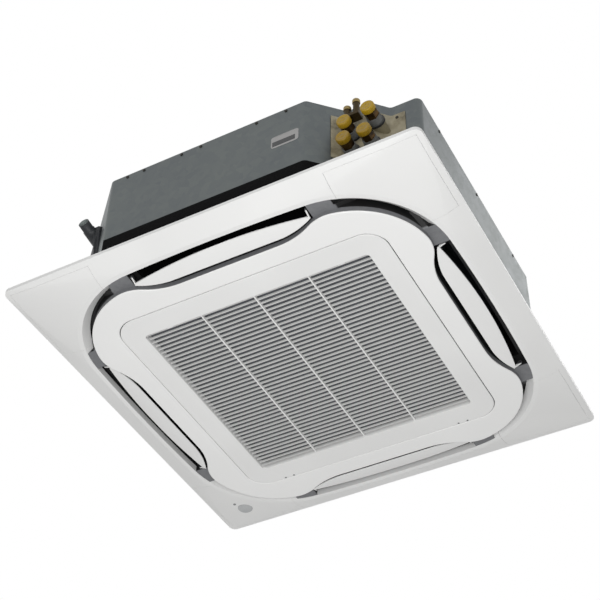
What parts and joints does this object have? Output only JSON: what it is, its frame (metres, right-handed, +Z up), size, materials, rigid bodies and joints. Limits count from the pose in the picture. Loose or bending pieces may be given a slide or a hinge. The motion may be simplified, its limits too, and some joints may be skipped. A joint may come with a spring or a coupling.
{
  "type": "ceiling cassette air conditioner",
  "caption": "Round-flow ceiling cassette fan coil: square panel with swinging flaps and a drop-down suction grille under an insulated cabinet with capped water connections.",
  "frame": {"origin": "centre of the four hanger slots, in the mid plane of the bracket plates, 130 mm above the ceiling plane", "axes": "+Z up, -Y towards the side with the water connections, +X towards the water connections' end of that side"},
  "size_m": [0.95, 0.95, 0.339],
  "materials": {
    "panel_white": "fine satin texture",
    "grille_white": "fine satin texture",
    "core_grey": "matt moulded",
    "filter_grey": "fine woven mesh",
    "window_dark": "semi-gloss infrared window",
    "light_clear": "clear lens",
    "galvanised": "spangled zinc coat, dull",
    "foam_black": "closed-cell foam sheet",
    "foam_pan": "moulded foam with a skin",
    "plastic_black": "matt moulded",
    "plastic_beige": "satin",
    "plate_grey": "matt printed label blank",
    "fins": "fin edges",
    "copper": "drawn tube, dull",
    "brass": "machined",
    "cap_yellow": "satin moulded",
    "screw_steel": "zinc plated",
    "motor_steel": "satin enamel",
    "rubber_black": "matt",
    "board_green": "solder mask",
    "hose_clear": "flexible vinyl",
    "fan_plastic": "moulded"
  },
  "bodies": {
    "cabinet_and_panel": {"outer_frame": "panel_white", "panel_core": "core_grey", "inner_panel": "panel_white", "grille_hinge_pins": "screw_steel", "flap_motors": "plastic_black", "panel_screws": "screw_steel", "panel_gasket": "foam_black", "cabinet_shell": "galvanised", "top_plate": "galvanised", "hanger_brackets": "galvanised", "cabinet_screws": "screw_steel", "pipe_cover": "plastic_beige", "rating_plate": "plate_grey", "lower_band": "foam_black", "drain_pan": "foam_pan", "bell_mouth": "plastic_black", "coil_fins": "fins", "coil_end_plates": "galvanised", "fan_motor": "motor_steel", "motor_mounts": "rubber_black", "control_box": "galvanised", "control_box_lid": "galvanised", "circuit_board": "board_green", "cable_gland": "plastic_black", "drain_pump": "fan_plastic", "float_switch": "fan_plastic", "drain_hose": "hose_clear", "drain_socket": "plastic_black", "cooling_pipes": "copper", "heating_pipes": "copper", "pipe_collars": "rubber_black", "vent_valves": "brass"},
    "fan": {"turbo_fan": "fan_plastic", "fan_nut": "screw_steel", "motor_shaft": "screw_steel"},
    "flap_front": {"flap_front": "panel_white", "flap_drive_front": "plastic_black"},
    "flap_right": {"flap_right": "panel_white", "flap_drive_right": "plastic_black"},
    "flap_rear": {"flap_rear": "panel_white", "flap_drive_rear": "plastic_black"},
    "flap_left": {"flap_left": "panel_white", "flap_drive_left": "plastic_black"},
    "grille": {"suction_grille": "grille_white"},
    "filter": {"air_filter": "filter_grey"},
    "latch_left": {"grille_latch_left": "grille_white"},
    "latch_right": {"grille_latch_right": "grille_white"},
    "float": {"float": "plastic_black"},
    "cap_cooling_in": {"pipe_cap_cooling_in": "cap_yellow"},
    "cap_cooling_out": {"pipe_cap_cooling_out": "cap_yellow"},
    "cap_heating_in": {"pipe_cap_heating_in": "cap_yellow"},
    "cap_heating_out": {"pipe_cap_heating_out": "cap_yellow"},
    "vent_cooling": {"vent_screw_cooling": "brass"},
    "vent_heating": {"vent_screw_heating": "brass"},
    "cover_pipe": {"corner_cover_pipe": "panel_white"},
    "cover_plain": {"corner_cover_plain": "panel_white"},
    "cover_drain": {"corner_cover_drain": "panel_white"},
    "cover_receiver": {"corner_cover_receiver": "panel_white", "receiver_window": "window_dark", "status_light": "light_clear"}
  },
  "joints": [
    {"name": "fan_spin", "type": "hinge", "parent": "cabinet_and_panel", "child": "fan", "pos_m": [0, 0, 0.053], "axis": [0, 0, 1], "continuous": true},
    {"name": "flap_right_swing", "type": "hinge", "parent": "cabinet_and_panel", "child": "flap_right", "pos_m": [0.401, 0, -0.151], "axis": [0, 1, 0], "range_deg": [0, 60]},
    {"name": "flap_rear_swing", "type": "hinge", "parent": "cabinet_and_panel", "child": "flap_rear", "pos_m": [0, 0.401, -0.151], "axis": [-1, 0, 0], "range_deg": [0, 60]},
    {"name": "flap_left_swing", "type": "hinge", "parent": "cabinet_and_panel", "child": "flap_left", "pos_m": [-0.401, 0, -0.151], "axis": [0, -1, 0], "range_deg": [0, 60]},
    {"name": "flap_front_swing", "type": "hinge", "parent": "cabinet_and_panel", "child": "flap_front", "pos_m": [0, -0.401, -0.151], "axis": [1, 0, 0], "range_deg": [0, 60]},
    {"name": "grille_hinge", "type": "hinge", "parent": "cabinet_and_panel", "child": "grille", "pos_m": [0, 0.306, -0.1695], "axis": [1, 0, 0], "range_deg": [0, 90]},
    {"name": "filter_lift", "type": "slide", "parent": "grille", "child": "filter", "axis": [0, 0, 1], "range_m": [0, 0.008]},
    {"name": "latch_left_slide", "type": "slide", "parent": "grille", "child": "latch_left", "axis": [0, -1, 0], "range_m": [0, 0.009]},
    {"name": "latch_right_slide", "type": "slide", "parent": "grille", "child": "latch_right", "axis": [0, -1, 0], "range_m": [0, 0.009]},
    {"name": "float_rise", "type": "slide", "parent": "cabinet_and_panel", "child": "float", "axis": [0, 0, 1], "range_m": [0, 0.03]},
    {"name": "cap_cooling_in_pull", "type": "slide", "parent": "cabinet_and_panel", "child": "cap_cooling_in", "axis": [0, -1, 0], "range_m": [0, 0.025]},
    {"name": "cap_cooling_out_pull", "type": "slide", "parent": "cabinet_and_panel", "child": "cap_cooling_out", "axis": [0, -1, 0], "range_m": [0, 0.025]},
    {"name": "cap_heating_in_pull", "type": "slide", "parent": "cabinet_and_panel", "child": "cap_heating_in", "axis": [0, -1, 0], "range_m": [0, 0.025]},
    {"name": "cap_heating_out_pull", "type": "slide", "parent": "cabinet_and_panel", "child": "cap_heating_out", "axis": [0, -1, 0], "range_m": [0, 0.025]},
    {"name": "vent_cooling_turn", "type": "hinge", "parent": "cabinet_and_panel", "child": "vent_cooling", "pos_m": [0.285, -0.388, 0.118], "axis": [0, 0, 1], "range_deg": [0, 360]},
    {"name": "vent_heating_turn", "type": "hinge", "parent": "cabinet_and_panel", "child": "vent_heating", "pos_m": [0.3055, -0.388, 0.131], "axis": [0, 0, 1], "range_deg": [0, 360]},
    {"name": "cover_pipe_drop", "type": "slide", "parent": "cabinet_and_panel", "child": "cover_pipe", "axis": [0, 0, -1], "range_m": [0, 0.03]},
    {"name": "cover_plain_drop", "type": "slide", "parent": "cabinet_and_panel", "child": "cover_plain", "axis": [0, 0, -1], "range_m": [0, 0.03]},
    {"name": "cover_receiver_drop", "type": "slide", "parent": "cabinet_and_panel", "child": "cover_receiver", "axis": [0, 0, -1], "range_m": [0, 0.03]},
    {"name": "cover_drain_drop", "type": "slide", "parent": "cabinet_and_panel", "child": "cover_drain", "axis": [0, 0, -1], "range_m": [0, 0.03]}
  ]
}
